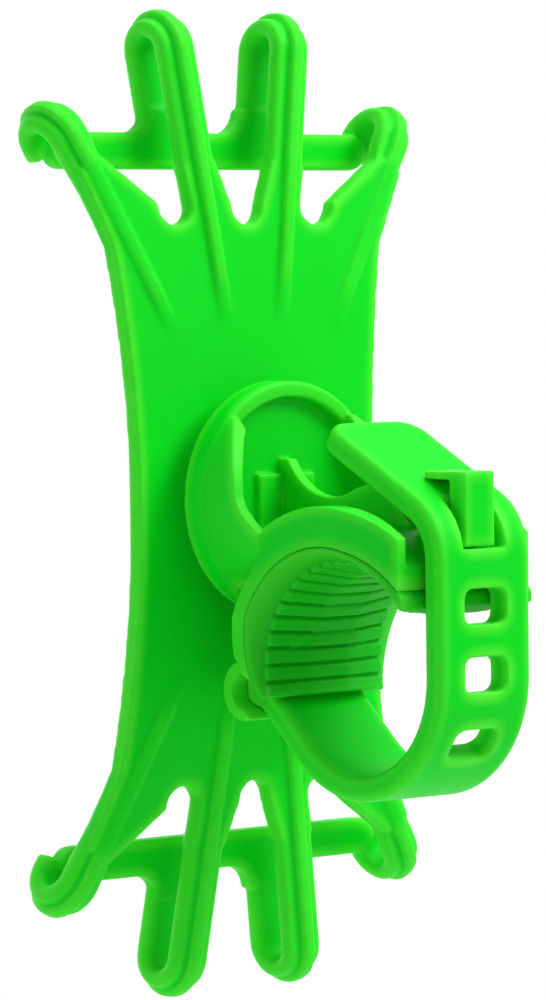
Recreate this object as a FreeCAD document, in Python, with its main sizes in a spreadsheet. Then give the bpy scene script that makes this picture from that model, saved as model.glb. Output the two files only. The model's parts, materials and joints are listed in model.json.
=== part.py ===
"""Handlebar phone holder: a soft cradle that swivels on a strap-on bar clamp.

Frame: the origin lies on the handlebar's axis, +X runs along the bar, +Y points from the bar to the
phone, and +Z points up along the phone. Lengths are millimetres and angles are degrees.
"""
import FreeCAD
import Part
import Sketcher
import math
import os
import re

Vector = FreeCAD.Vector

# Driving dimensions: alias, value and meaning
SIZES = [
    ("bar_radius", 15.9, "handlebar that the clamp is drawn on"),
    ("clamp_clearance", 0.1, "rib crests to the bar"),
    ("standoff", 33.0, "bar axis to the back of the web"),
    ("swivel_height", 27.0, "bar axis up to the swivel axis"),
    ("cradle_drop", 1.0, "middle of the cradle below the swivel axis"),
    ("face_clearance", 0.3, "running gap between faces that turn on each other"),
    ("running_clearance", 0.08, "radial gap between hub and bore"),
    ("seat_clearance", 0.05, "gap between pieces that are pressed or screwed together"),
    # Cradle
    ("web_thickness", 3.0, "silicone sheet and strips"),
    ("web_bow_radius", 600.0, "bow that brings both ends forward"),
    ("web_edge_radius", 1.2, "rounded edge of sheet and strips"),
    ("waist_half_width", 25.2, "half width of the web at the swivel"),
    ("flank_half_width", 28.8, "half width where the flank runs into the corner finger"),
    ("flank_height", 42.0, "height of that place over the swivel"),
    ("window_height", 45.3, "inner end of the windows over the swivel"),
    ("window_radius", 3.1, "rounded inner end of a window"),
    ("side_window_across", 15.2, "side windows from the middle plane"),
    ("side_window_radius", 3.6, "rounded inner end of a side window"),
    ("middle_width", 7.2, "strip of a middle finger"),
    ("corner_width", 7.0, "strip of a corner finger"),
    ("corner_root_width", 5.2, "strip of a corner finger at its root"),
    ("corner_flare", 8.0, "length over which a corner finger widens before its fold"),
    ("middle_tilt", 3.8, "how far the middle fingers tip forward"),
    ("corner_tilt", 4.4, "how far the corner fingers tip forward"),
    ("finger_stub", 10.0, "flat root of a finger past the window's inner end"),
    ("ridge_width", 2.4, "raised ridge along each finger"),
    ("ridge_height", 1.3, "how far a ridge stands out"),
    ("ridge_rise", 14.0, "length over which a ridge rises out of the web"),
    ("middle_foot_across", 5.1, "foot of the middle fingers' ridges"),
    ("middle_foot_height", 23.9, "foot of the middle fingers' ridges over the swivel"),
    ("middle_lean", 8.2, "lean of the middle fingers"),
    ("middle_length", 56.2, "foot to tip of the middle fingers"),
    ("corner_foot_across", 13.8, "foot of the corner fingers' ridges"),
    ("corner_foot_height", 22.3, "foot of the corner fingers' ridges over the swivel"),
    ("corner_lean", 29.4, "lean of the corner fingers"),
    ("corner_length", 48.2, "foot to tip of the corner fingers"),
    ("loop_depth", 10.8, "outer depth of a folded finger"),
    ("cross_bar_drop", 2.1, "middle of the front cross bars below the start of the corner fingers' folds"),
    ("cross_bar_width", 6.0, "width of the front cross bars"),
    ("cross_bar_reach", 34.0, "half length of the front cross bars"),
    ("cross_bar_fillet", 4.0, "fillet between cross bar and middle finger"),
    ("boss_radius", 16.0, "thick middle of the web that turns on the disc"),
    ("boss_height", 3.0, "how far the boss stands behind the web"),
    # Swivel
    ("hub_radius", 7.0, "hub that the web turns on"),
    ("plate_radius", 14.0, "plate that holds the web on the hub"),
    ("plate_thickness", 1.5, "its thickness"),
    ("screw_radius", 1.5, "core of the swivel screw"),
    ("screw_head_radius", 2.9, "countersunk head"),
    ("screw_length", 8.6, "head face to tip"),
    ("screw_slot_width", 0.9, "arm of the cross recess"),
    ("screw_slot_reach", 1.7, "half length of the cross recess"),
    ("screw_slot_depth", 0.9, "depth of the cross recess"),
    # Clamp base
    ("disc_radius", 19.0, "swivel disc"),
    ("disc_thickness", 4.9, "swivel disc"),
    ("disc_edge_radius", 0.8, "rounded rim of the disc"),
    ("rim_depth", 2.2, "how far the disc's floor lies below its rim"),
    ("cheek_inner", 11.8, "inner edge of the side cheeks from the middle plane"),
    ("cheek_thickness", 2.6, "side cheeks, and the rim that they grow from"),
    ("cheek_top", 13.2, "top of the cheeks over the swivel"),
    ("cheek_depth", 6.9, "how far a cheek stands behind the rim at its foot"),
    ("cheek_top_depth", 0.9, "how far a cheek stands behind the rim at its top"),
    ("cheek_bow_radius", 21.6, "bowed back edge of a cheek"),
    ("cheek_step", 1.0, "foot of a cheek's back edge over the swivel"),
    ("saddle_half_length", 16.5, "half length of the saddle over the bar"),
    ("saddle_low_half_length", 13.0, "half length at the saddle's lower end"),
    ("saddle_taper_top", 9.0, "height over the bar axis where the saddle starts to narrow"),
    ("band_width", 4.4, "thick end bands of the saddle"),
    ("band_radius", 26.8, "outer radius of the end bands"),
    ("band_low_wall", 1.9, "end bands where they have thinned out under the disc"),
    ("band_shoulder_angle", 60.0, "where the end bands start to thin out"),
    ("saddle_wall", 2.8, "wall of the saddle between its bands"),
    ("saddle_low_angle", -14.0, "lower end of the saddle, from +Y towards +Z"),
    ("saddle_high_angle", 138.0, "arm end of the saddle"),
    ("arm_reach", 15.2, "arm end of the saddle behind the bar axis"),
    ("arm_half_length", 14.2, "half length of the saddle at its arm end"),
    ("arm_taper_start", 4.0, "where the saddle starts to narrow, behind the bar axis"),
    ("pad_overhang_angle", 7.0, "how far the pad reaches past the arm end"),
    ("spine_width", 2.2, "middle rib between disc and saddle"),
    ("spine_top", 6.4, "top of the rib on the disc, over the swivel"),
    ("spine_radius", 30.2, "crest of the rib over the saddle"),
    ("spine_rise_angle", 73.0, "where the rib's crest starts"),
    ("spine_end_angle", 87.0, "where the rib's crest ends"),
    ("spine_hollow", 11.8, "hollow between disc and saddle"),
    ("block_width", 12.0, "block behind the screw"),
    ("block_top", 4.0, "its top over the swivel"),
    ("block_low", 16.0, "its lower end below the swivel"),
    ("block_height", 1.0, "how far it stands out of the disc's floor"),
    ("hook_width", 6.4, "hook that holds the strap"),
    ("hook_face", 19.1, "outer face of the hook behind the bar axis"),
    ("hook_lip", 3.6, "thickness of the hook's upright lip"),
    ("hook_low", 20.4, "underside of the hook over the bar axis"),
    ("hook_stem", 3.0, "height of the hook's stem"),
    ("hook_top", 32.1, "top of the hook over the bar axis"),
    ("hook_plate", 1.3, "thickness of the plate on top"),
    ("hook_tip", 9.8, "tip of the plate behind the bar axis"),
    ("socket_across", 22.9, "strap socket in front of the bar axis"),
    ("socket_height", -3.4, "strap socket over the bar axis"),
    ("socket_wall", 2.0, "wall round the socket"),
    # Grip pad
    ("pad_end_ease", 1.5, "how far the ends of the ribs fall back from the crest"),
    ("pad_thickness", 4.35, "pad at its rib crests"),
    ("pad_crest_half_length", 4.0, "straight middle of the rib crests"),
    ("pad_half_length", 12.4, "half length of the ribbed part"),
    ("pad_lip", 0.7, "thickness of the pad's flared ends"),
    ("rib_pitch_angle", 9.0, "angle from rib to rib"),
    ("rib_angle", 6.8, "angle that one rib covers"),
    ("rib_depth", 0.8, "depth of the grooves between ribs"),
    # Strap
    ("strap_width", 19.6, "strap"),
    ("strap_thickness", 4.1, "strap"),
    ("strap_edge_radius", 1.2, "rounded edges of the strap"),
    ("strap_bar_gap", 0.15, "strap to the bar"),
    ("strap_leave_angle", 240.0, "where the strap leaves the bar"),
    ("strap_swing_radius", 20.4, "outside of the wide bend behind the bar"),
    ("strap_bend_height", 18.8, "foot of the bend at the hook over the bar axis"),
    ("strap_bend_radius", 11.0, "outside of that bend"),
    ("strap_tail_rise", 28.5, "rise of the loose tail"),
    ("strap_tail_length", 24.0, "loose tail past the bend"),
    ("strap_tail_corner", 4.5, "rounded corners of the tail"),
    ("strap_bead_radius", 2.8, "bead that anchors the strap"),
    ("hole_width", 9.0, "strap holes, across the strap"),
    ("hole_height", 5.6, "strap holes, along the strap"),
    ("hole_corner", 1.8, "corners of the strap holes"),
    ("hole_pitch", 10.7, "hole to hole"),
    ("first_hole_height", 11.1, "first free hole over the bar axis"),
    ("hook_room", 0.3, "room round the hook in its hole"),
]
NAMES = {name for name, number, note in SIZES}
# Sizes that follow from the others
DERIVED = {
    "cradle_middle": "(swivel_height - cradle_drop)",
    "flank_hollow": "(flank_half_width - waist_half_width)",
    "cross_bar_height": "(corner_foot_height + (corner_length - loop_depth / 2) * cos(corner_lean) - cross_bar_drop)",
    "saddle_seat_radius": "(bar_radius + clamp_clearance + pad_thickness + seat_clearance)",
    "pad_end_radius": "(bar_radius + clamp_clearance + pad_end_ease)",
}

doc = FreeCAD.newDocument("bike_phone_mount")
sheet = doc.addObject("Spreadsheet::Sheet", "sizes")
for row, (name, number, note) in enumerate(SIZES, start=1):
    sheet.set("A%d" % row, note)
    sheet.set("B%d" % row, str(number))
    sheet.setAlias("B%d" % row, name)
doc.recompute()


def linked(formula):
    """The formula with each size name pointing at its cell."""
    written = re.sub(r"[a-z_]+", lambda word: DERIVED.get(word[0], word[0]), str(formula))
    return re.sub(r"[a-z_]+", lambda word: "sizes." + word[0] if word[0] in NAMES else word[0], written)


def value(formula):
    return float(sheet.evalExpression(linked(formula)))


def bind(item, **formulas):
    """Binds properties of an object to formulas of the sheet."""
    for name, formula in formulas.items():
        item.setExpression(name.replace("__", "."), linked(formula))


def fix(sketch, kind, *spec_and_formula):
    """Adds one dimension to a sketch and binds it to a formula."""
    *spec, formula = spec_and_formula
    index = sketch.addConstraint(Sketcher.Constraint(kind, *spec, value(formula)))
    sketch.setExpression("Constraints[%d]" % index, linked(formula))


def new_body(label):
    body = doc.addObject("PartDesign::Body", label)
    body.Label = label
    return body


def new_sketch(body, name, role, offset="0", tilt="0", up="0"):
    """A sketch on one of the body's planes, moved along its normal and its second axis, tilted about its first."""
    sketch = body.newObject("Sketcher::SketchObject", name)
    plane = next(item for item in body.Origin.OriginFeatures if item.Role == role)
    sketch.AttachmentSupport = (plane, [""])
    sketch.MapMode = "FlatFace"
    sketch.AttachmentOffset = FreeCAD.Placement(
        Vector(0, value(up), value(offset)), FreeCAD.Rotation(Vector(1, 0, 0), value(tilt)))
    bind(sketch, AttachmentOffset__Base__z=offset, AttachmentOffset__Base__y=up)
    if value(tilt):
        bind(sketch, AttachmentOffset__Rotation__Angle=tilt)
    return sketch


def arc_through(start, end, radius, turn):
    """The shorter arc from start to end; turn is 1 for anticlockwise and -1 for clockwise."""
    chord = end - start
    half = chord.Length / 2
    middle = (start + end) / 2
    side = Vector(chord.y, -chord.x, 0).normalize() * turn
    sagitta = radius - math.sqrt(max(radius * radius - half * half, 0.0))
    return Part.Arc(start, middle + side * sagitta, end)


def draw_outline(sketch, corners):
    """A closed outline. A corner is (first, second) or (first, second, radius, turn) for an arc to the next."""
    points = [Vector(value(corner[0]), value(corner[1]), 0) for corner in corners]
    ends = []
    for index, corner in enumerate(corners):
        start, end = points[index], points[(index + 1) % len(points)]
        if len(corner) == 2:
            edge = sketch.addGeometry(Part.LineSegment(start, end), False)
        else:
            edge = sketch.addGeometry(arc_through(start, end, value(corner[2]), corner[3]), False)
        forward = (sketch.getPoint(edge, 1) - start).Length < (sketch.getPoint(edge, 2) - start).Length
        ends.append((edge, 1 if forward else 2, 2 if forward else 1))
    for index, corner in enumerate(corners):
        edge, first, last = ends[index]
        before = ends[index - 1]
        sketch.addConstraint(Sketcher.Constraint("Coincident", before[0], before[2], edge, first))
        fix(sketch, "DistanceX", -1, 1, edge, first, corner[0])
        fix(sketch, "DistanceY", -1, 1, edge, first, corner[1])
        if len(corner) > 2:
            fix(sketch, "Radius", edge, corner[2])


def draw_circle(sketch, first, second, radius):
    place = Vector(value(first), value(second), 0)
    edge = sketch.addGeometry(Part.Circle(place, Vector(0, 0, 1), value(radius)), False)
    fix(sketch, "DistanceX", -1, 1, edge, 3, first)
    fix(sketch, "DistanceY", -1, 1, edge, 3, second)
    fix(sketch, "Radius", edge, radius)


def rounded_box(half_width, half_height, corner, up="0"):
    """Corners of a box with rounded corners, centred on the sketch's second axis at the height up."""
    w, h, r = "(%s)" % half_width, "(%s)" % half_height, "(%s)" % corner
    low, high = "%s - %s" % (up, h), "%s + %s" % (up, h)
    return [
        ("-%s + %s" % (w, r), low), ("%s - %s" % (w, r), low, corner, 1),
        (w, "%s + %s" % (low, r)), (w, "%s - %s" % (high, r), corner, 1),
        ("%s - %s" % (w, r), high), ("-%s + %s" % (w, r), high, corner, 1),
        ("-%s" % w, "%s - %s" % (high, r)), ("-%s" % w, "%s + %s" % (low, r), corner, 1),
    ]


def box(low_first, high_first, low_second, high_second):
    return [(low_first, low_second), (high_first, low_second), (high_first, high_second), (low_first, high_second)]


def pad(body, sketch, length, side="Symmetric", back=False):
    feature = body.newObject("PartDesign::Pad", sketch.Name + "_pad")
    feature.Profile = sketch
    feature.SideType = side
    feature.Reversed = back
    bind(feature, Length=length)
    doc.recompute()
    return feature


def pocket(body, sketch, length, side="Symmetric", back=False):
    """Cuts the sketch out of the body, and makes sure that it cut something."""
    before = body.Shape.Volume
    feature = body.newObject("PartDesign::Pocket", sketch.Name + "_pocket")
    feature.Profile = sketch
    feature.SideType = side
    feature.Reversed = back
    bind(feature, Length=length)
    doc.recompute()
    if not body.Shape.Volume < before - 1e-3:
        raise RuntimeError(sketch.Name + " cuts nothing")
    return feature


def revolve(body, sketch, axis, angle="360"):
    """Turns the sketch about one of the body's own axes."""
    feature = body.newObject("PartDesign::Revolution", sketch.Name + "_turned")
    feature.Profile = sketch
    feature.ReferenceAxis = (next(item for item in body.Origin.OriginFeatures if item.Role == axis), [""])
    bind(feature, Angle=angle)
    doc.recompute()
    return feature


def round_edges(body, radius, wanted):
    """Fillets the edges of the body's tip that the test accepts."""
    tip = body.Tip
    names = ["Edge%d" % (index + 1) for index, edge in enumerate(tip.Shape.Edges) if wanted(edge)]
    feature = body.newObject("PartDesign::Fillet", body.Name + "_rounding%d" % len(body.Group))
    feature.Base = (tip, names)
    bind(feature, Radius=radius)
    doc.recompute()
    return feature


def on_plane(edge, axis, place):
    """True where the whole edge lies in a plane across one axis."""
    return all(abs(getattr(point, axis) - place) < 1e-4 for point in edge.discretize(5))


def bowed(height):
    """How far the bow carries the web forward at a height over the swivel."""
    return "(web_bow_radius - sqrt(web_bow_radius ^ 2 - (%s) ^ 2))" % height


# Cradle: one silicone moulding
def make_bowed_sheet():
    body = new_body("bowed_sheet")
    sketch = new_sketch(body, "bow_section", "YZ_Plane")
    reach = "(window_height + 2 * finger_stub)"
    inner = "(web_bow_radius - web_thickness)"
    front = "standoff + web_bow_radius - sqrt(%s ^ 2 - %s ^ 2)" % (inner, reach)
    back = "standoff + " + bowed(reach)
    draw_outline(sketch, [
        (back, "cradle_middle + " + reach, "web_bow_radius", 1),
        (back, "cradle_middle - " + reach),
        (front, "cradle_middle - " + reach, inner, -1),
        (front, "cradle_middle + " + reach),
    ])
    pad(body, sketch, "4 * waist_half_width")
    return body


def finger_point(finger, along, side):
    """A point of the web's plane by its distance along a finger and to the side of its axis."""
    lean = finger + "_lean"
    across = "%s_foot_across + (%s) * sin(%s) + (%s) * cos(%s)" % (finger, along, lean, side, lean)
    up = "%s_foot_height + (%s) * cos(%s) - (%s) * sin(%s)" % (finger, along, lean, side, lean)
    return across, up


FLANK_RADIUS = "((flank_height ^ 2 + flank_hollow ^ 2) / (2 * flank_hollow))"


def make_web_outline():
    """The web seen from behind: hollow flanks, finger roots and the rounded inner ends of the windows."""
    half = "middle_width / 2"
    stub = {
        finger: "(window_height + finger_stub - %s_foot_height) / cos(%s_lean)" % (finger, finger)
        for finger in ("middle", "corner")}
    right = [
        ("flank_half_width", "flank_height"),
        finger_point("corner", stub["corner"], "corner_root_width / 2"),
        finger_point("corner", stub["corner"], "-corner_root_width / 2"),
        ("side_window_across + side_window_radius", "window_height + side_window_radius", "side_window_radius", -1),
        ("side_window_across", "window_height", "side_window_radius", -1),
        ("side_window_across - side_window_radius", "window_height + side_window_radius"),
        finger_point("middle", stub["middle"], half),
        finger_point("middle", stub["middle"], "-" + half),
        ("window_radius", "window_height + window_radius", "window_radius", -1),
    ]
    upper = right + [("0", "window_height", "window_radius", -1)]
    # The left half repeats the right one backwards, so an arc belongs to the corner before it
    for index in reversed(range(len(right))):
        arc = right[index - 1][2:] if index else (FLANK_RADIUS, -1)
        upper.append(("-(%s)" % right[index][0], right[index][1]) + tuple(arc))
    lower = [("-(%s)" % corner[0], "-(%s)" % corner[1]) + tuple(corner[2:]) for corner in upper]
    corners = [(corner[0], "cradle_middle + " + corner[1]) + tuple(corner[2:]) for corner in upper + lower]
    body = new_body("web_outline")
    sketch = new_sketch(body, "web_edge", "XZ_Plane", "-standoff")
    draw_outline(sketch, corners)
    pad(body, sketch, "6 * loop_depth")
    return body


def make_web():
    web = doc.addObject("Part::Common", "web")
    web.Base = make_bowed_sheet()
    web.Tool = make_web_outline()
    doc.recompute()
    return web


def make_finger(finger):
    """One finger: a strip that folds forward over the phone's end, with a ridge along its back."""
    body = new_body(finger + "_finger")
    length = finger + "_length"
    fold = "(%s - loop_depth / 2)" % length
    root = "((window_height - %s_foot_height) / cos(%s_lean) - finger_stub / 2)" % (finger, finger)
    front = "((cross_bar_height - %s_foot_height) / cos(%s_lean))" % (finger, finger)
    strip = new_sketch(body, finger + "_strip", "YZ_Plane")
    draw_outline(strip, [
        ("0", root),
        ("web_thickness", root),
        ("web_thickness", fold, "loop_depth / 2 - web_thickness", -1),
        ("loop_depth / 2", "%s - web_thickness" % length, "loop_depth / 2 - web_thickness", -1),
        ("loop_depth - web_thickness", fold),
        ("loop_depth - web_thickness", front),
        ("loop_depth", front),
        ("loop_depth", fold, "loop_depth / 2", 1),
        ("loop_depth / 2", length, "loop_depth / 2", 1),
        ("0", fold),
    ])
    pad(body, strip, finger + "_width")
    half = value(finger + "_width / 2")
    round_edges(body, "web_edge_radius", lambda edge: on_plane(edge, "x", half) or on_plane(edge, "x", -half))
    if finger == "corner":
        for name, side in (("corner_neck_left", "-1"), ("corner_neck_right", "1")):
            neck = new_sketch(body, name, "XZ_Plane")
            draw_outline(neck, [
                (side + " * corner_root_width / 2", root + " - finger_stub"),
                (side + " * corner_root_width / 2", fold + " - corner_flare"),
                (side + " * corner_width / 2", fold),
                (side + " * corner_width", fold),
                (side + " * corner_width", root + " - finger_stub"),
            ])
            pocket(body, neck, "2 * (loop_depth - 1.5 * web_thickness)")
    ridge = new_sketch(body, finger + "_ridge", "YZ_Plane")
    draw_outline(ridge, [
        ("web_thickness / 2", "0"),
        ("web_thickness / 2", fold, "loop_depth / 2 - web_thickness / 2", -1),
        ("loop_depth / 2", "%s - web_thickness / 2" % length, "loop_depth / 2 - web_thickness / 2", -1),
        ("loop_depth - web_thickness / 2", fold),
        ("loop_depth", "(%s + %s) / 2" % (fold, front)),
        ("loop_depth + ridge_height", fold, "loop_depth / 2 + ridge_height", 1),
        ("loop_depth / 2", "%s + ridge_height" % length, "loop_depth / 2 + ridge_height", 1),
        ("-ridge_height", fold),
        ("-ridge_height", "ridge_rise"),
        ("web_edge_radius / 2", "0"),
    ])
    pad(body, ridge, "ridge_width")
    lean = FreeCAD.Rotation(Vector(0, 1, 0), value(finger + "_lean"))
    tilt = FreeCAD.Rotation(Vector(1, 0, 0), value("-%s_tilt" % finger))
    place = Vector(
        value(finger + "_foot_across"),
        value("standoff + " + bowed(finger + "_foot_height")),
        value("cradle_middle + %s_foot_height" % finger))
    body.Placement = FreeCAD.Placement(place, lean * tilt)
    doc.recompute()
    return body


def make_cross_bar():
    """The front bar that ties the four fingers of one end together."""
    body = new_body("cross_bar")
    front = "standoff + %s + loop_depth" % bowed("cross_bar_height")
    sketch = new_sketch(body, "cross_bar_edge", "XZ_Plane", "-(%s)" % front)
    along = "(cross_bar_height - middle_foot_height) / cos(middle_lean)"
    middle = "(middle_foot_across + %s * sin(middle_lean))" % along
    low = "cradle_middle + cross_bar_height - cross_bar_width / 2"
    high = "cradle_middle + cross_bar_height + cross_bar_width / 2"
    rise = high + " + cross_bar_fillet"
    half = "middle_width / 2"
    right = [
        ("cross_bar_reach - cross_bar_width / 2", high),
        ("%s + %s + cross_bar_fillet" % (middle, half), high, "cross_bar_fillet", -1),
        ("%s + %s" % (middle, half), rise),
        ("%s - %s" % (middle, half), rise, "cross_bar_fillet", -1),
        ("%s - %s - cross_bar_fillet" % (middle, half), high),
    ]
    left = [("-(%s)" % corner[0], corner[1]) for corner in reversed(right)]
    left[0] = left[0] + ("cross_bar_fillet", -1)
    left[2] = left[2] + ("cross_bar_fillet", -1)
    draw_outline(sketch, [
        ("-cross_bar_reach + cross_bar_width / 2", low),
        ("cross_bar_reach - cross_bar_width / 2", low, "cross_bar_width / 2", 1),
        ("cross_bar_reach", "cradle_middle + cross_bar_height", "cross_bar_width / 2", 1),
    ] + right + left[:-1] + [
        left[-1] + ("cross_bar_width / 2", 1),
        ("-cross_bar_reach", "cradle_middle + cross_bar_height", "cross_bar_width / 2", 1),
    ])
    pad(body, sketch, "web_thickness", "One side")
    return body


def make_cylinder(name, radius, low, high):
    """A cylinder along the swivel axis between two places on +Y."""
    rod = doc.addObject("Part::Cylinder", name)
    bind(rod, Radius=radius, Height="(%s) - (%s)" % (high, low))
    turn = FreeCAD.Rotation(Vector(1, 0, 0), -90)
    rod.Placement = FreeCAD.Placement(Vector(0, value(low), value("swivel_height")), turn)
    bind(rod, Placement__Base__y=low, Placement__Base__z="swivel_height")
    return rod


def mirrored(source, name, normal):
    copy = doc.addObject("Part::Mirroring", name)
    copy.Source = source
    copy.Normal = normal
    copy.Base = Vector(0, 0, value("cradle_middle"))
    bind(copy, Base__z="cradle_middle")
    return copy


def make_phone_cradle():
    pieces = [make_web()]
    for finger in ("middle", "corner"):
        right = make_finger(finger)
        left = mirrored(right, finger + "_finger_left", Vector(1, 0, 0))
        pieces += [right, left]
    pieces.append(make_cross_bar())
    for upper in pieces[1:]:
        pieces.append(mirrored(upper, upper.Name + "_below", Vector(0, 0, 1)))
    pieces.append(make_cylinder("boss", "boss_radius", "standoff - boss_height", "standoff + web_thickness / 2"))
    solid = doc.addObject("Part::MultiFuse", "cradle_solid")
    solid.Shapes = pieces
    recess_floor = "standoff + web_thickness - plate_thickness - face_clearance"
    bore = make_cylinder("bore", "hub_radius + running_clearance", "standoff - 2 * boss_height", "standoff + 2 * web_thickness")
    recess = make_cylinder("recess", "plate_radius + face_clearance", recess_floor, "standoff + 2 * web_thickness")
    opened = doc.addObject("Part::Cut", "bored_cradle")
    opened.Base = solid
    opened.Tool = bore
    cradle = doc.addObject("Part::Cut", "phone_cradle")
    cradle.Base = opened
    cradle.Tool = recess
    cradle.Label = "phone_cradle"
    doc.recompute()
    return cradle


# Swivel: a plate and a screw that hold the cradle on the base's hub
PLATE_BACK = "standoff + web_thickness - plate_thickness"
DISC_FRONT = "standoff - boss_height - face_clearance"
DISC_BACK = "standoff - boss_height - face_clearance - disc_thickness"


def head_depth():
    return "(screw_head_radius - screw_radius)"


def make_swivel_plate():
    body = new_body("swivel_plate")
    disc = new_sketch(body, "plate_edge", "XZ_Plane", "-(%s)" % PLATE_BACK)
    draw_circle(disc, "0", "swivel_height", "plate_radius")
    pad(body, disc, "plate_thickness", "One side", True)
    front = value(PLATE_BACK + " + plate_thickness")
    rim = value("plate_radius")
    round_edges(body, "plate_thickness / 3", lambda edge: (
        on_plane(edge, "y", front) and abs(edge.Curve.Radius - rim) < 1e-6))
    hole = new_sketch(body, "plate_hole", "XZ_Plane", "-(%s)" % PLATE_BACK)
    draw_circle(hole, "0", "swivel_height", "screw_radius + seat_clearance")
    pocket(body, hole, "4 * plate_thickness")
    drilled = body.Tip
    mouth = ["Edge%d" % (index + 1) for index, edge in enumerate(drilled.Shape.Edges) if (
        on_plane(edge, "y", front) and edge.Curve.Radius < value("screw_head_radius"))]
    sink = body.newObject("PartDesign::Chamfer", "countersink")
    sink.Base = (drilled, mouth)
    bind(sink, Size=head_depth())
    doc.recompute()
    return body


def make_swivel_screw():
    """A countersunk screw along the swivel axis, its head flush with the plate."""
    body = new_body("swivel_screw")
    sketch = new_sketch(body, "screw_half_section", "YZ_Plane")
    draw_outline(sketch, [
        ("0", "0"),
        ("0", "screw_head_radius"),
        ("-" + head_depth(), "screw_radius"),
        ("-screw_length + screw_radius", "screw_radius"),
        ("-screw_length", "screw_radius / 3"),
        ("-screw_length", "0"),
    ])
    revolve(body, sketch, "Y_Axis")
    for name, arm in (("recess_across", (1, 0)), ("recess_upright", (0, 1))):
        slot = new_sketch(body, name, "XZ_Plane")
        reach = ["screw_slot_reach" if way else "screw_slot_width / 2" for way in arm]
        draw_outline(slot, box("-" + reach[0], reach[0], "-" + reach[1], reach[1]))
        pocket(body, slot, "screw_slot_depth", "One side", True)
    body.Placement = FreeCAD.Placement(
        Vector(0, value(PLATE_BACK + " + plate_thickness"), value("swivel_height")), FreeCAD.Rotation())
    bind(body, Placement__Base__y=PLATE_BACK + " + plate_thickness", Placement__Base__z="swivel_height")
    doc.recompute()
    return body


# Clamp base: one hard moulding
def polar(radius, angle):
    """A point of the bar's cross section by its distance and angle from +Y towards +Z."""
    return "(%s) * cos(%s)" % (radius, angle), "(%s) * sin(%s)" % (radius, angle)


def saddle_corners(inner, outer):
    """Cross section of a saddle shell: its arm end is cut upright, its lower end runs to a slanted tip."""
    return [
        polar(inner, "saddle_low_angle") + (inner, 1),
        polar(inner, "90") + (inner, 1),
        polar(inner, "saddle_high_angle"),
        ("-arm_reach", "(%s) * sin(saddle_high_angle)" % inner),
        ("-arm_reach", "sqrt((%s) ^ 2 - arm_reach ^ 2)" % outer, outer, -1),
        polar(outer, "90") + (outer, -1),
        polar(outer, "saddle_low_angle + 20"),
    ]


def band_corners():
    """Cross section of an end band: thick over the bar, thinned out under the disc."""
    thin = "(saddle_seat_radius + band_low_wall)"
    return saddle_corners("saddle_seat_radius", "band_radius")[:-1] + [
        polar("band_radius", "band_shoulder_angle"),
        polar(thin, "saddle_low_angle + 30") + (thin, -1),
        polar(thin, "saddle_low_angle + 10"),
    ]


def narrow(body, label):
    """Narrows a piece towards both ends of the saddle."""
    for name, side in (("_left", "-1"), ("_right", "1")):
        taper = new_sketch(body, label + name, "XZ_Plane", "-(%s - cheek_top_depth)" % DISC_BACK)
        draw_outline(taper, [
            (side + " * saddle_low_half_length", "-2 * saddle_seat_radius"),
            (side + " * saddle_low_half_length", "saddle_seat_radius * sin(saddle_low_angle)"),
            (side + " * saddle_half_length", "saddle_taper_top"),
            (side + " * 2 * saddle_half_length", "saddle_taper_top"),
            (side + " * 2 * saddle_half_length", "-2 * saddle_seat_radius"),
        ])
        pocket(body, taper, "4 * saddle_seat_radius", "One side", True)
        arm = new_sketch(body, label + "_arm" + name, "XY_Plane")
        draw_outline(arm, [
            (side + " * saddle_half_length", "-arm_taper_start"),
            (side + " * arm_half_length", "-arm_reach"),
            (side + " * arm_half_length", "-2 * arm_reach"),
            (side + " * 2 * saddle_half_length", "-2 * arm_reach"),
            (side + " * 2 * saddle_half_length", "-arm_taper_start"),
        ])
        pocket(body, arm, "4 * band_radius")


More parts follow.
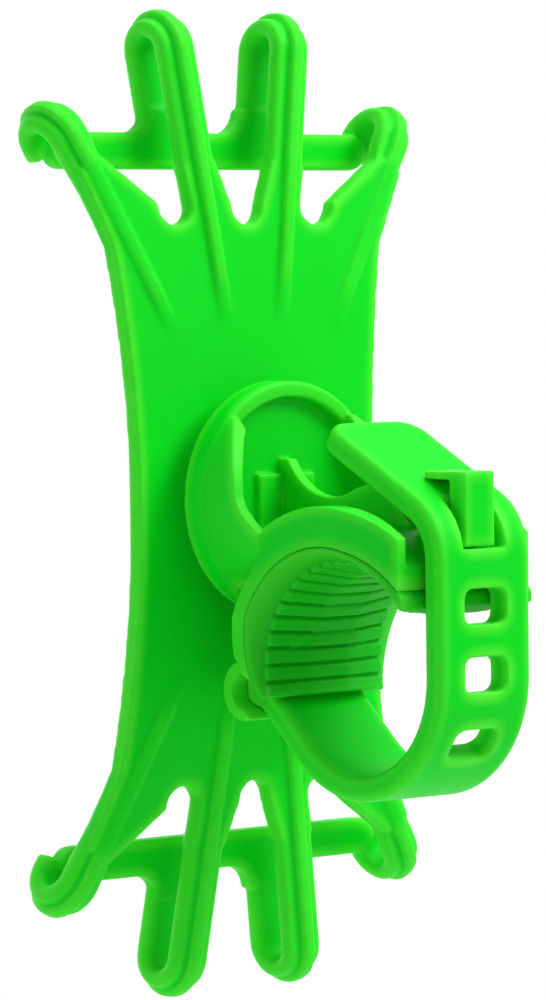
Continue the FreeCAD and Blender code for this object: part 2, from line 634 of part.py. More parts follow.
def make_clamp_base():
    body = new_body("clamp_base")
    disc = new_sketch(body, "disc_edge", "XZ_Plane", "-(%s)" % DISC_FRONT)
    draw_circle(disc, "0", "swivel_height", "disc_radius")
    pad(body, disc, "disc_thickness", "One side")
    back = value(DISC_BACK)
    round_edges(body, "disc_edge_radius", lambda edge: on_plane(edge, "y", back))
    hub = new_sketch(body, "hub_edge", "XZ_Plane", "-(%s)" % DISC_FRONT)
    draw_circle(hub, "0", "swivel_height", "hub_radius")
    pad(body, hub, "%s - (%s)" % (PLATE_BACK, DISC_FRONT), "One side", True)

    middle = "saddle_seat_radius + saddle_wall / 2"
    drum = "disc_radius - disc_edge_radius / 2"
    cheeks = new_sketch(body, "cheek_rim", "XZ_Plane", "-(%s + disc_thickness / 2)" % DISC_BACK)
    draw_circle(cheeks, "0", "swivel_height", drum)
    draw_circle(cheeks, "0", "swivel_height", "disc_radius - cheek_thickness")
    pad(body, cheeks, "disc_thickness / 2 + 2 * cheek_depth", "One side")
    between = new_sketch(body, "between_cheeks", "YZ_Plane")
    draw_outline(between, box("-saddle_seat_radius", DISC_BACK, "-band_radius", "2 * swivel_height"))
    pocket(body, between, "2 * cheek_inner")
    behind = new_sketch(body, "behind_cheeks", "YZ_Plane")
    draw_outline(behind, [
        (DISC_BACK, "swivel_height + cheek_top"),
        (DISC_BACK + " - cheek_top_depth", "swivel_height + cheek_top", "cheek_bow_radius", 1),
        (DISC_BACK + " - cheek_depth", "swivel_height + cheek_step", "spine_hollow", -1),
        polar("band_radius - band_low_wall / 2", "band_shoulder_angle"),
        polar(middle, "saddle_low_angle + 30"),
        polar(middle, "saddle_low_angle"),
        ("-saddle_seat_radius", "-band_radius"),
        ("-saddle_seat_radius", "2 * swivel_height"),
        (DISC_BACK, "2 * swivel_height"),
    ])
    pocket(body, behind, "4 * disc_radius")
    floor = new_sketch(body, "disc_floor", "XZ_Plane", "-(%s)" % DISC_BACK)
    draw_circle(floor, "0", "swivel_height", "disc_radius - cheek_thickness")
    pocket(body, floor, "rim_depth", "One side", False)

    wall = new_sketch(body, "saddle_section", "YZ_Plane")
    draw_outline(wall, saddle_corners("saddle_seat_radius", "saddle_seat_radius + saddle_wall"))
    pad(body, wall, "2 * saddle_half_length")
    for name, side in (("left_band", -1), ("right_band", 1)):
        band = new_sketch(body, name, "YZ_Plane", "%d * (saddle_half_length - band_width)" % side)
        draw_outline(band, band_corners())
        pad(body, band, "band_width", "One side", side < 0)

    spine = new_sketch(body, "spine_side", "YZ_Plane")
    draw_outline(spine, [
        (DISC_BACK + " + 0.8 * disc_thickness", "swivel_height + spine_top"),
        (DISC_BACK, "swivel_height + spine_top", "spine_hollow", -1),
        polar("spine_radius", "spine_rise_angle") + ("spine_radius", 1),
        polar("spine_radius", "spine_end_angle"),
        polar(middle, "spine_end_angle + 20") + (middle, -1),
        polar(middle, "30"),
        (DISC_BACK + " + 0.8 * disc_thickness", "swivel_height - block_top"),
    ])
    pad(body, spine, "spine_width")
    block = new_sketch(body, "block_edge", "XZ_Plane", "-(%s + rim_depth + block_height)" % DISC_BACK)
    draw_outline(block, box(
        "-block_width / 2", "block_width / 2", "swivel_height - block_low", "swivel_height + block_top"))
    pad(body, block, "2 * block_height", "One side")

    socket = new_sketch(body, "socket_section", "YZ_Plane")
    draw_circle(socket, "socket_across", "socket_height", "strap_bead_radius + seat_clearance + socket_wall")
    pad(body, socket, "2 * saddle_low_half_length")
    seat = new_sketch(body, "pad_seat", "YZ_Plane")
    draw_circle(seat, "0", "0", "saddle_seat_radius")
    pocket(body, seat, "4 * saddle_half_length")

    narrow(body, "saddle_taper")
    hook = new_sketch(body, "hook_side", "YZ_Plane")
    draw_outline(hook, [
        ("-hook_face", "hook_low"),
        ("-arm_reach + seat_clearance", "hook_low"),
        polar(middle, "125"),
        polar(middle, "110"),
        polar("band_radius", "110"),
        ("-hook_face + hook_lip", "hook_low + hook_stem"),
        ("-hook_face + hook_lip", "hook_top - hook_plate"),
        ("-hook_tip", "hook_top - hook_plate"),
        ("-hook_tip", "hook_top"),
        ("-hook_face", "hook_top"),
    ])
    pad(body, hook, "hook_width")

    bead = new_sketch(body, "bead_seat", "YZ_Plane")
    draw_circle(bead, "socket_across", "socket_height", "strap_bead_radius + seat_clearance")
    pocket(body, bead, "4 * saddle_half_length")
    mouth = new_sketch(body, "socket_mouth", "YZ_Plane")
    draw_outline(mouth, strap_neck("strap_thickness / 2 + seat_clearance", "3 * strap_thickness"))
    pocket(body, mouth, "4 * saddle_half_length")
    pilot = new_sketch(body, "pilot_hole", "XZ_Plane", "-(%s)" % PLATE_BACK)
    draw_circle(pilot, "0", "swivel_height", "screw_radius + seat_clearance")
    pocket(body, pilot, "screw_length - plate_thickness + screw_radius / 2", "One side", True)
    return body


# Grip pad: a ribbed liner in the saddle
def make_grip_pad():
    body = new_body("grip_pad")
    arc = "saddle_high_angle + pad_overhang_angle - saddle_low_angle"
    crest = "bar_radius + clamp_clearance"
    outer = "saddle_seat_radius - seat_clearance"
    lip = "saddle_seat_radius - pad_lip"
    hollow = [
        ("-saddle_half_length", lip),
        ("-pad_half_length", "pad_end_radius"),
        ("-pad_crest_half_length", crest),
        ("pad_crest_half_length", crest),
        ("pad_half_length", "pad_end_radius"),
        ("saddle_half_length", lip),
    ]
    liner = new_sketch(body, "liner_half_section", "XY_Plane", tilt="saddle_low_angle")
    draw_outline(liner, [("-saddle_half_length", outer), ("-saddle_half_length", lip)] + [
        (across, "%s + rib_depth" % height) for across, height in hollow[1:-1]
    ] + [("saddle_half_length", lip), ("saddle_half_length", outer)])
    revolve(body, liner, "X_Axis", arc)
    rib = new_sketch(body, "rib_half_section", "XY_Plane", tilt="saddle_low_angle")
    draw_outline(rib, [
        (across, "%s + 2 * rib_depth" % height) for across, height in reversed(hollow[1:-1])] + hollow[1:-1])
    land = revolve(body, rib, "X_Axis", "rib_angle")
    steps = int(value("(%s - rib_angle) / rib_pitch_angle" % arc))
    row = body.newObject("PartDesign::PolarPattern", "rib_row")
    row.Originals = [land]
    row.Axis = (next(item for item in body.Origin.OriginFeatures if item.Role == "X_Axis"), [""])
    row.Occurrences = steps + 1
    row.Angle = value("rib_pitch_angle") * steps
    body.Tip = row
    doc.recompute()
    narrow(body, "pad_taper")
    mouth = new_sketch(body, "pad_mouth", "YZ_Plane")
    draw_outline(mouth, strap_neck("strap_thickness / 2 + strap_bar_gap", "3 * strap_thickness"))
    pocket(body, mouth, "4 * saddle_half_length")
    end = new_sketch(body, "pad_arm_end", "YZ_Plane")
    draw_outline(end, box("-2 * arm_reach", "%s + strap_thickness + face_clearance" % STRAP_FACE, "0", "swivel_height"))
    pocket(body, end, "4 * saddle_half_length")
    return body


# Strap: a perforated silicone band that wraps the bar and hooks on the arm
STRAP_MIDDLE = "(bar_radius + strap_bar_gap + strap_thickness / 2)"
NECK_ANGLE = (
    "(atan(socket_height / socket_across)"
    " - acos(%s / sqrt(socket_across ^ 2 + socket_height ^ 2)))" % STRAP_MIDDLE)


def neck_corner(along, side):
    """A point of the straight run from the bead to the bar, by distance from the bead and to the side."""
    down = polar(along, NECK_ANGLE + " - 90 deg")
    out = polar(side, NECK_ANGLE)
    return "socket_across + %s + %s" % (down[0], out[0]), "socket_height + %s + %s" % (down[1], out[1])


def strap_neck(half, length):
    back = "-(%s)" % half
    return [neck_corner("0", back), neck_corner(length, back), neck_corner(length, half), neck_corner("0", half)]


SWING_ACROSS = "((bar_radius + strap_bar_gap + strap_thickness - strap_swing_radius) * cos(strap_leave_angle))"
SWING_HEIGHT = "((bar_radius + strap_bar_gap + strap_thickness - strap_swing_radius) * sin(strap_leave_angle))"
STRAP_FACE = "(%s - strap_swing_radius)" % SWING_ACROSS


def moved(across, up, point):
    return "%s + %s" % (across, point[0]), "%s + %s" % (up, point[1])


def make_strap():
    body = new_body("strap")
    outline = new_sketch(body, "strap_side", "YZ_Plane")
    half = "strap_thickness / 2"
    outer = "bar_radius + strap_bar_gap + strap_thickness"
    inner = "bar_radius + strap_bar_gap"
    face = STRAP_FACE
    bend_across = "%s + strap_bend_radius" % face
    bend_inner = "strap_bend_radius - strap_thickness"
    swing_inner = "strap_swing_radius - strap_thickness"
    tail = polar("strap_tail_length", "strap_tail_rise")
    tail_outer = moved(bend_across, "strap_bend_height", polar("strap_bend_radius", "90 + strap_tail_rise"))
    tail_inner = moved(bend_across, "strap_bend_height", polar(bend_inner, "90 + strap_tail_rise"))
    draw_outline(outline, [
        neck_corner("0", half),
        polar(outer, NECK_ANGLE) + (outer, -1),
        polar(outer, "strap_leave_angle") + ("strap_swing_radius", -1),
        (face, SWING_HEIGHT),
        (face, "strap_bend_height", "strap_bend_radius", -1),
        tail_outer,
        moved(tail[0], tail[1], tail_outer),
        moved(tail[0], tail[1], tail_inner),
        tail_inner + (bend_inner, 1),
        (face + " + strap_thickness", "strap_bend_height"),
        (face + " + strap_thickness", SWING_HEIGHT, swing_inner, 1),
        polar(inner, "strap_leave_angle") + (inner, 1),
        polar(inner, NECK_ANGLE),
        neck_corner("0", "-" + half),
    ])
    pad(body, outline, "strap_width")
    rim = value("strap_width / 2")
    rise = math.radians(value("strap_tail_rise"))
    across = Vector(0, -math.sin(rise), math.cos(rise))

    def tail_corner(edge):
        """True for the two short edges at the end of the tail."""
        first, last = edge.Vertexes[0].Point, edge.Vertexes[-1].Point
        way = last - first
        middle = (first + last) / 2
        return (
            way.Length < value("strap_thickness") + 1e-3 and abs(abs(way.normalize().dot(across)) - 1) < 1e-6
            and middle.z > value("swivel_height"))

    round_edges(body, "strap_tail_corner", tail_corner)

    def long_edge(edge):
        """True for the edges along both sides of the strap and round its tail."""
        points = edge.discretize(5)
        side = all(abs(abs(point.x) - rim) < 1e-4 for point in points)
        end = min(point.z for point in points) > value("swivel_height") + 1e-3
        flat = max(point.x for point in points) - min(point.x for point in points) > 1.0
        return side or (end and flat)

    round_edges(body, "strap_edge_radius", long_edge)
    bead = new_sketch(body, "strap_bead", "YZ_Plane")
    draw_circle(bead, "socket_across", "socket_height", "strap_bead_radius")
    pad(body, bead, "strap_width")

    hole = rounded_box("hole_width / 2", "hole_height / 2", "hole_corner", "first_hole_height")
    first = new_sketch(body, "first_hole", "XZ_Plane")
    draw_outline(first, hole)
    pocket(body, first, "2 * strap_swing_radius", "One side", True)
    swing_middle = "(strap_swing_radius - strap_thickness / 2)"
    for number, name in ((1, "second_hole"), (2, "third_hole")):
        below = "(%d * hole_pitch - first_hole_height + %s)" % (number, SWING_HEIGHT)
        turn = "%s / %s * 180 / pi" % (below, swing_middle)
        lower = new_sketch(body, name, "XZ_Plane", "-" + SWING_ACROSS, turn, SWING_HEIGHT)
        draw_outline(lower, rounded_box("hole_width / 2", "hole_height / 2", "hole_corner"))
        pocket(body, lower, "2 * strap_swing_radius", "One side", True)
    hooked = new_sketch(body, "hooked_hole", "YZ_Plane")
    inside = "-hook_face + hook_lip + hook_room"
    top = "hook_low + 1.4 * hook_stem + hook_room"
    draw_outline(hooked, [
        ("-2 * hook_face", "hook_low - hook_room"),
        ("-arm_reach / 2", "hook_low - hook_room"),
        ("-arm_reach / 2", top),
        (inside, top),
        (inside, "2 * swivel_height"),
        ("-2 * hook_face", "2 * swivel_height"),
    ])
    pocket(body, hooked, "hole_width")
    return body


def check(item):
    states = [state for state in item.State if state in ("Invalid", "Error")]
    if states:
        raise RuntimeError("%s is %s" % (item.Name, states))


parts = [
    make_phone_cradle(), make_swivel_plate(), make_swivel_screw(), make_clamp_base(), make_grip_pad(), make_strap()]
doc.recompute()
for item in doc.Objects:
    check(item)
os.makedirs("parts", exist_ok=True)
for part in parts:
    if part.Shape.isNull() or not part.Shape.isValid():
        raise RuntimeError(part.Label + " has no valid shape")
    part.Shape.exportStep("parts/%s.step" % part.Label)
    print(part.Label, len(part.Shape.Solids), round(part.Shape.Volume, 1), part.Shape.BoundBox)
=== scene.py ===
"""Looks of the handlebar phone holder: soft moulded finishes, a plain studio and the photograph's view."""

import json
import math

import bpy
from bpy.props import FloatProperty, FloatVectorProperty, IntProperty, PointerProperty
from mathutils import Matrix, Vector


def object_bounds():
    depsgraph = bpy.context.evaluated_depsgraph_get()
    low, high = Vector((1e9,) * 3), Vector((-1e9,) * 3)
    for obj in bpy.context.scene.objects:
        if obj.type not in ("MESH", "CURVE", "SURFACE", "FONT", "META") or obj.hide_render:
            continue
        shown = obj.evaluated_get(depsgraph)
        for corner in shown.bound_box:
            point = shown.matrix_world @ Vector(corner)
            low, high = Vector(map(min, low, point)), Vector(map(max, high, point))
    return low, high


bl_info = {
    "name": "Handlebar phone holder",
    "version": (1, 0, 0),
    "blender": (4, 5, 0),
    "location": "View3D > Sidebar > Phone holder",
    "description": "Finishes and studio for the handlebar phone holder",
    "category": "Object",
}

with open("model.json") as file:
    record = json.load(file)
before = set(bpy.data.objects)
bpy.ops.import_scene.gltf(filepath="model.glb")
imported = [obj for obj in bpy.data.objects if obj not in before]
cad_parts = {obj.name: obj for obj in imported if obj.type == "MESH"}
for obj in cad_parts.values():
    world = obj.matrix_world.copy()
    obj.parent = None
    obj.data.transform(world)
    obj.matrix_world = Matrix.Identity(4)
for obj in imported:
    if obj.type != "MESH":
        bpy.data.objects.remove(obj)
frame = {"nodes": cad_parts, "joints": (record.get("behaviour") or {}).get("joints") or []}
CAD_LOW, CAD_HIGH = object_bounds()
MILLIMETRE = 0.001
PICTURE_WIDTH = 546
PICTURE_HEIGHT = 1000
CLIP_NEAR = 0.05
CLIP_FAR = 20.0
FLOOR_SIZE = 6.0
WHITE = (1.0, 1.0, 1.0, 1.0)
SMOOTH_FACTOR = 0.5
EDGE_SAMPLES = 6
CLOUD_DETAIL = 3.0
GRAIN_DETAIL = 2.0
MARK_DETAIL = 4.0

# Lamps: place from the holder's middle and side of the square, in metres
LAMPS = {
    "key": ((0.27, -0.36, 0.42), 0.35),
    "top": ((0.12, -0.05, 0.75), 0.45),
    "rim": ((-0.70, 0.15, 0.15), 0.5),
    "low": ((-0.45, -0.30, -0.40), 0.5),
    "back": ((0.05, 0.75, -0.10), 0.7),
}


def length(name, description, millimetres):
    return FloatProperty(
        name=name, description=description, default=millimetres * MILLIMETRE, unit="LENGTH", precision=5)


def angle(name, description, degrees):
    return FloatProperty(name=name, description=description, default=math.radians(degrees), subtype="ANGLE")


def amount(name, description, default):
    return FloatProperty(name=name, description=description, default=default)


def steps(name, count):
    return IntProperty(name=name, description="Smoothing steps", default=count)


def colour(name, description, red, green, blue):
    return FloatVectorProperty(
        name=name, description=description, default=(red, green, blue),
        subtype="COLOR", size=3, min=0.0, max=1.0)


class MouldedFinish(bpy.types.PropertyGroup):
    """Colour, painted edge glow and softness of the moulded pieces."""

    deep: colour("Deep colour", "Darker share of the mottling", 0.0, 0.66, 0.010)
    bright: colour("Bright colour", "Lighter share of the mottling", 0.002, 0.72, 0.016)
    # Painted glow: this colour and the four settings below paint edges and thin walls paler and yellower,
    # standing in for light shining through the translucent skin there.
    edge: colour("Edge colour", "Paler tint of the rounded edges", 0.15, 0.92, 0.05)
    painted_glow_depth: length("Edge depth", "Wall under which the paler tint shows", 2.3)
    silicone_painted_glow: amount("Silicone edge", "How fast the paler tint grows towards a silicone edge", 1.45)
    plastic_painted_glow: amount("Plastic edge", "How fast the paler tint grows towards a plastic edge", 0.8)
    thin_painted_glow: amount("Thin edge", "How fast the paler tint grows on the pad and the plate", 0.35)
    glow: amount("Glow", "Share of the light that passes under the skin", 0.45)
    glow_depth: length("Glow depth", "How far light travels under the skin", 2.4)
    glow_spread: colour("Glow spread", "Share of that depth for red, green and blue light", 0.6, 1.0, 0.4)
    # Partly the pad's own deeper green, partly painted shade for the shadow inside the saddle.
    pad_deep_colour_and_painted_shade: amount("Pad shade", "How much deeper the pad's colour is", 0.72)
    silicone_roughness: amount("Silicone roughness", "Satin of the soft pieces", 0.46)
    plastic_roughness: amount("Plastic roughness", "Satin of the hard pieces", 0.40)
    grain: amount("Grain", "Grains per metre of the moulded skin", 2600.0)
    grain_gloss: amount("Grain gloss", "How much the grain changes the roughness", 0.12)
    grain_relief: amount("Grain relief", "Strength of the grain's relief", 0.08)
    grain_height: length("Grain height", "Height of the grain's relief", 0.1)
    mottle: amount("Mottle", "Cloudiness per metre in the colour", 70.0)
    specular: amount("Specular", "Strength of the skin's reflections", 0.13)
    refraction: amount("Refraction", "Refractive index of the moulded pieces", 1.41)
    cradle_voxel: length("Cradle voxel", "Mesh size of the softened cradle", 0.30)
    clamp_voxel: length("Clamp voxel", "Mesh size of the softened base", 0.24)
    strap_voxel: length("Strap voxel", "Mesh size of the softened strap", 0.25)
    pad_voxel: length("Pad voxel", "Mesh size of the softened pad", 0.26)
    cradle_softening: steps("Cradle softening", 18)
    strap_softening: steps("Strap softening", 14)
    clamp_softening: steps("Clamp softening", 8)
    pad_softening: steps("Pad softening", 2)
    thinning: amount("Thinning", "Share of the softened faces that is kept", 0.37)
    pad_thinning: amount("Pad thinning", "Share of the pad's softened faces that is kept", 1.0)


class ScrewFinish(bpy.types.PropertyGroup):
    """Colour of the plated screw."""

    base: colour("Colour", "Plated steel", 0.56, 0.56, 0.58)
    roughness: amount("Roughness", "Turned and plated face", 0.32)
    marks: amount("Marks", "Turning marks per metre", 1800.0)
    mark_gloss: amount("Mark gloss", "How much the marks change the roughness", 0.2)


class Studio(bpy.types.PropertyGroup):
    """Camera, lights and floor."""

    azimuth: angle("Azimuth", "Camera round the holder, 0 looks along +Y", -41.3)
    elevation: angle("Elevation", "Camera above the horizon", 2.31)
    roll: angle("Roll", "Camera turn about its own axis", -0.77)
    distance: length("Distance", "Camera to the swivel", 870.0)
    scale: amount("Scale", "Picture points per millimetre at the swivel", 6.138)
    swivel_across: amount("Swivel across", "Swivel in the picture, points from the left", 259.5)
    swivel_down: amount("Swivel down", "Swivel in the picture, points from the top", 497.0)
    sensor: amount("Sensor", "Long side of the sensor in millimetres", 36.0)
    key_power: amount("Key power", "Soft light from the right and above in watts", 3.1)
    top_power: amount("Top power", "Soft light from overhead in watts", 2.3)
    rim_power: amount("Rim power", "Soft light from behind on the left in watts", 0.8)
    low_power: amount("Low power", "Soft light from below on the left in watts", 0.3)
    back_power: amount("Back power", "Soft light from behind in watts", 3.5)
    ambient: amount("Ambient", "Even light from all round", 0.37)
    floor_drop: length("Floor drop", "Floor below the lowest finger", 90.0)
    floor_start: length("Floor start", "Where the floor starts to fade to plain white", 150.0)
    floor_reach: length("Floor reach", "Where the floor has become plain white", 600.0)
    floor_white: amount("Floor white", "Share of plain white under the holder", 0.55)
    floor_grey: amount("Floor grey", "Colour of the lit floor", 0.9)


class Value:
    """A shader socket that takes part in sums and products."""

    def __init__(self, shader, socket):
        self.shader = shader
        self.socket = socket

    def _combine(self, operation, first, second):
        return self.shader.node("ShaderNodeMath", {"operation": operation}, {0: first, 1: second})

    def __add__(self, other):
        return self._combine("ADD", self, other)

    def __radd__(self, other):
        return self._combine("ADD", other, self)

    def __sub__(self, other):
        return self._combine("SUBTRACT", self, other)

    def __rsub__(self, other):
        return self._combine("SUBTRACT", other, self)

    def __mul__(self, other):
        return self._combine("MULTIPLY", self, other)

    def __rmul__(self, other):
        return self._combine("MULTIPLY", other, self)

    def capped(self, most):
        return self._combine("MINIMUM", self, most)


class Shader:
    """A node tree whose nodes are made one at a time and joined by their values."""

    def __init__(self, owner):
        self.owner = owner
        owner.use_nodes = True
        self.tree = owner.node_tree
        self.tree.nodes.clear()

    def node(self, kind, settings=None, inputs=None, output=0):
        """Adds one node: its settings first, then its inputs, and gives one of its outputs."""
        made = self.tree.nodes.new(kind)
        for name, setting in (settings or {}).items():
            setattr(made, name, setting)
        for name, given in (inputs or {}).items():
            if isinstance(given, Value):
                self.tree.links.new(given.socket, made.inputs[name])
            else:
                made.inputs[name].default_value = given
        return None if output is None else Value(self, made.outputs[output])

    def noise(self, scale, detail):
        """Noise in the piece's own place, so that it stays put when the piece moves."""
        place = self.node("ShaderNodeTexCoord", output="Object")
        return self.node("ShaderNodeTexNoise", inputs={"Vector": place, "Scale": scale, "Detail": detail})

    def blend(self, share, first, second):
        """Mixes two colours; the mix node keeps its colour inputs in places 6 and 7."""
        inputs = {"Factor": share, 6: first, 7: second}
        return self.node("ShaderNodeMix", {"data_type": "RGBA"}, inputs, output=2)

    def finish(self, surface, output="ShaderNodeOutputMaterial"):
        self.node(output, inputs={"Surface": surface}, output=None)
        return self.owner


def moulded(name, settings, roughness, painted_glow_share, shade=1.0):
    """A satin moulded skin: faint clouds, a painted glow that makes edges and thin walls paler, a fine
    grain in gloss and surface.
    """
    shader = Shader(bpy.data.materials.new(name))
    cloud = shader.noise(settings.mottle, CLOUD_DETAIL)
    grain = shader.noise(settings.grain, GRAIN_DETAIL)
    # Inside occlusion finds edges and thin walls; the colour is painted paler there as a glow of light
    # through the skin.
    depth = shader.node(
        "ShaderNodeAmbientOcclusion", {"inside": True, "samples": EDGE_SAMPLES},
        {"Distance": settings.painted_glow_depth}, output="AO")
    # For the pad this darkens the colour: partly its own deeper green, partly painted shade.
    deep = (*(shade * settings.deep), 1.0)
    bright = (*(shade * settings.bright), 1.0)
    body = shader.blend(cloud, deep, bright)
    bump = shader.node("ShaderNodeBump", inputs={
        "Strength": settings.grain_relief, "Distance": settings.grain_height, "Height": grain})
    surface = shader.node("ShaderNodeBsdfPrincipled", inputs={
        # Painted glow: edges and thin walls are mixed towards the paler edge colour.
        "Base Color": shader.blend(painted_glow_share * (1.0 - depth), body, (*settings.edge, 1.0)),
        "Roughness": roughness + (grain - 0.5) * settings.grain_gloss,
        "Normal": bump,
        "IOR": settings.refraction,
        "Specular IOR Level": settings.specular,
        "Subsurface Weight": settings.glow,
        "Subsurface Radius": tuple(settings.glow_spread),
        "Subsurface Scale": settings.glow_depth,
    })
    return shader.finish(surface)


def plated(name, settings):
    """Plated steel with faint turning marks."""
    shader = Shader(bpy.data.materials.new(name))
    marks = shader.noise(settings.marks, MARK_DETAIL)
    surface = shader.node("ShaderNodeBsdfPrincipled", inputs={
        "Base Color": (*settings.base, 1.0),
        "Metallic": 1.0,
        "Roughness": settings.roughness + (marks - 0.5) * settings.mark_gloss,
    })
    return shader.finish(surface)


def dress(node, material):
    """Gives a CAD node one material."""
    node.data.materials.clear()
    node.data.materials.append(material)


def soften(node, voxel, rounds, thinning):
    """Rounds a node's edges the way a moulding's are, with modifiers only."""
    remesh = node.modifiers.new("even mesh", "REMESH")
    remesh.mode = "VOXEL"
    remesh.voxel_size = voxel
    remesh.use_smooth_shade = True
    smooth = node.modifiers.new("soft edges", "SMOOTH")
    smooth.factor = SMOOTH_FACTOR
    smooth.iterations = rounds
    fewer = node.modifiers.new("fewer faces", "DECIMATE")
    fewer.ratio = thinning


class HOLDER_OT_silicone(bpy.types.Operator):
    """Finishes the cradle, the strap and the grip pad"""

    bl_idname = "holder.silicone"
    bl_label = "Finish the silicone pieces"

    def execute(self, context):
        settings = context.scene.holder_moulded
        cradle, strap, pad = [frame["nodes"][name] for name in ("phone_cradle", "strap", "grip_pad")]
        satin = settings.silicone_roughness
        silicone = moulded("silicone", settings, satin, settings.silicone_painted_glow)
        dress(cradle, silicone)
        dress(strap, silicone)
        dress(pad, moulded("pad rubber", settings, satin, settings.thin_painted_glow, settings.pad_deep_colour_and_painted_shade))
        soften(cradle, settings.cradle_voxel, settings.cradle_softening, settings.thinning)
        soften(strap, settings.strap_voxel, settings.strap_softening, settings.thinning)
        soften(pad, settings.pad_voxel, settings.pad_softening, settings.pad_thinning)
        return {"FINISHED"}


class HOLDER_OT_plastic(bpy.types.Operator):
    """Finishes the clamp base and the swivel plate"""

    bl_idname = "holder.plastic"
    bl_label = "Finish the hard pieces"

    def execute(self, context):
        settings = context.scene.holder_moulded
        base, plate = [frame["nodes"][name] for name in ("clamp_base", "swivel_plate")]
        satin = settings.plastic_roughness
        dress(base, moulded("hard plastic", settings, satin, settings.plastic_painted_glow))
        dress(plate, moulded("thin plastic", settings, satin, settings.thin_painted_glow))
        soften(base, settings.clamp_voxel, settings.clamp_softening, settings.thinning)
        return {"FINISHED"}


class HOLDER_OT_screw(bpy.types.Operator):
    """Finishes the swivel screw"""

    bl_idname = "holder.screw"
    bl_label = "Finish the screw"

    def execute(self, context):
        dress(frame["nodes"]["swivel_screw"], plated("plated steel", context.scene.holder_screw))
        return {"FINISHED"}


def place_camera(context, studio):
    """Puts the swivel at its point of the picture, seen from the stated side."""
    swivel = Vector(frame["joints"][0]["pos_m"])
    back = Vector((
        math.sin(studio.azimuth) * math.cos(studio.elevation),
        -math.cos(studio.azimuth) * math.cos(studio.elevation),
        math.sin(studio.elevation)))
    level = Vector((math.cos(studio.azimuth), math.sin(studio.azimuth), 0.0))
    upright = back.cross(level)
    right = math.cos(studio.roll) * level + math.sin(studio.roll) * upright
    up = math.cos(studio.roll) * upright - math.sin(studio.roll) * level
    per_point = MILLIMETRE / studio.scale
    across = (studio.swivel_across - PICTURE_WIDTH / 2) * per_point
    down = (studio.swivel_down - PICTURE_HEIGHT / 2) * per_point
    data = bpy.data.cameras.new("camera")
    data.sensor_width = studio.sensor
    data.lens = studio.sensor * studio.scale * studio.distance / MILLIMETRE / PICTURE_HEIGHT
    data.clip_start = CLIP_NEAR
    data.clip_end = CLIP_FAR
    camera = bpy.data.objects.new("camera", data)
    turn = Matrix((right, up, back)).transposed().to_4x4()
    place = swivel + back * studio.distance - across * right + down * up
    camera.matrix_world = Matrix.Translation(place) @ turn
    context.scene.collection.objects.link(camera)
    context.scene.camera = camera


def add_lamp(context, name, target, offset, size, power):
    """A square soft light that faces a target."""
    data = bpy.data.lights.new(name, "AREA")
    data.size = size
    data.energy = power
    light = bpy.data.objects.new(name, data)
    light.location = target + offset
    light.rotation_mode = "QUATERNION"
    light.rotation_quaternion = (-offset).to_track_quat("-Z", "Y")
    context.scene.collection.objects.link(light)


def seen_rays(shader):
    """1 for what the camera sees, straight or in reflections, and 0 for all other light."""
    kinds = ("Is Camera Ray", "Is Glossy Ray", "Is Transmission Ray")
    camera, glossy, through = [shader.node("ShaderNodeLightPath", output=kind) for kind in kinds]
    return (camera + glossy + through).capped(1.0)


def floor_material(studio):
    """A pale floor that keeps the shadow near the holder and runs out to plain white."""
    shader = Shader(bpy.data.materials.new("floor"))
    place = shader.node("ShaderNodeTexCoord", output="Object")
    reach = shader.node("ShaderNodeVectorMath", {"operation": "LENGTH"}, {0: place}, output="Value")
    share = shader.node("ShaderNodeMapRange", inputs={
        "Value": reach,
        "From Min": studio.floor_start,
        "From Max": studio.floor_reach,
        "To Min": studio.floor_white,
        "To Max": 1.0,
    })
    grey = (studio.floor_grey, studio.floor_grey, studio.floor_grey, 1.0)
    lit = shader.node("ShaderNodeBsdfDiffuse", inputs={"Color": grey})
    white = shader.node("ShaderNodeEmission", inputs={"Color": WHITE, "Strength": 1.0})
    seen = seen_rays(shader) * share
    return shader.finish(shader.node("ShaderNodeMixShader", inputs={"Fac": seen, 1: lit, 2: white}))


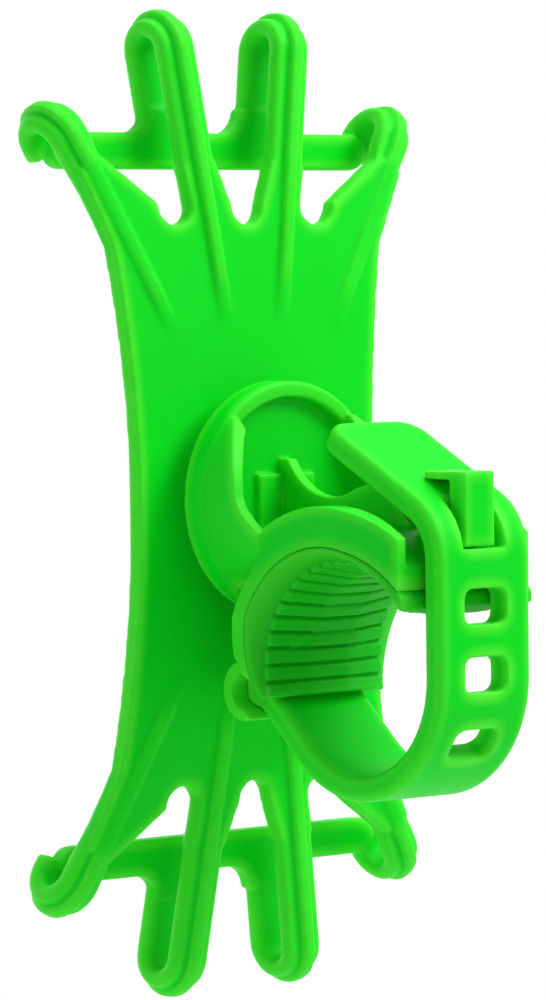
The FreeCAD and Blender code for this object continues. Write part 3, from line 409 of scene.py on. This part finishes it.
def studio_world(studio):
    """An even light from all round that shows as plain white."""
    shader = Shader(bpy.data.worlds.new("studio"))
    strength = studio.ambient + (1.0 - studio.ambient) * seen_rays(shader)
    background = shader.node("ShaderNodeBackground", inputs={"Color": WHITE, "Strength": strength})
    return shader.finish(background, "ShaderNodeOutputWorld")


class HOLDER_OT_studio(bpy.types.Operator):
    """Builds the floor, the lights, the world and the camera"""

    bl_idname = "holder.studio"
    bl_label = "Build the studio"

    def execute(self, context):
        studio = context.scene.holder_studio
        middle = (CAD_LOW + CAD_HIGH) / 2
        place_camera(context, studio)
        below = Vector((middle.x, middle.y, CAD_LOW.z - studio.floor_drop))
        bpy.ops.mesh.primitive_plane_add(size=FLOOR_SIZE, location=below)
        floor = context.object
        floor.name = "floor"
        dress(floor, floor_material(studio))
        for name, (offset, size) in LAMPS.items():
            add_lamp(context, name, middle, Vector(offset), size, getattr(studio, name + "_power"))
        context.scene.world = studio_world(studio)
        context.scene.view_settings.view_transform = "Standard"
        return {"FINISHED"}


class HOLDER_PT_panel(bpy.types.Panel):
    """The holder's finishes and studio"""

    bl_label = "Phone holder"
    bl_idname = "HOLDER_PT_panel"
    bl_space_type = "VIEW_3D"
    bl_region_type = "UI"
    bl_category = "Phone holder"

    def draw(self, context):
        for group_name, group in GROUPS.items():
            column = self.layout.column()
            for name in group.__annotations__:
                column.prop(getattr(context.scene, group_name), name)
        for operator in OPERATORS:
            self.layout.operator(operator.bl_idname)


OPERATORS = (HOLDER_OT_silicone, HOLDER_OT_plastic, HOLDER_OT_screw, HOLDER_OT_studio)
GROUPS = {"holder_moulded": MouldedFinish, "holder_screw": ScrewFinish, "holder_studio": Studio}
CLASSES = (*GROUPS.values(), *OPERATORS, HOLDER_PT_panel)


def register():
    for item in CLASSES:
        bpy.utils.register_class(item)
    for name, group in GROUPS.items():
        setattr(bpy.types.Scene, name, PointerProperty(type=group))


def unregister():
    for name in GROUPS:
        delattr(bpy.types.Scene, name)
    for item in reversed(CLASSES):
        bpy.utils.unregister_class(item)


def main():
    register()
    bpy.ops.holder.silicone()
    bpy.ops.holder.plastic()
    bpy.ops.holder.screw()
    bpy.ops.holder.studio()


if __name__ == "__main__":
    main()
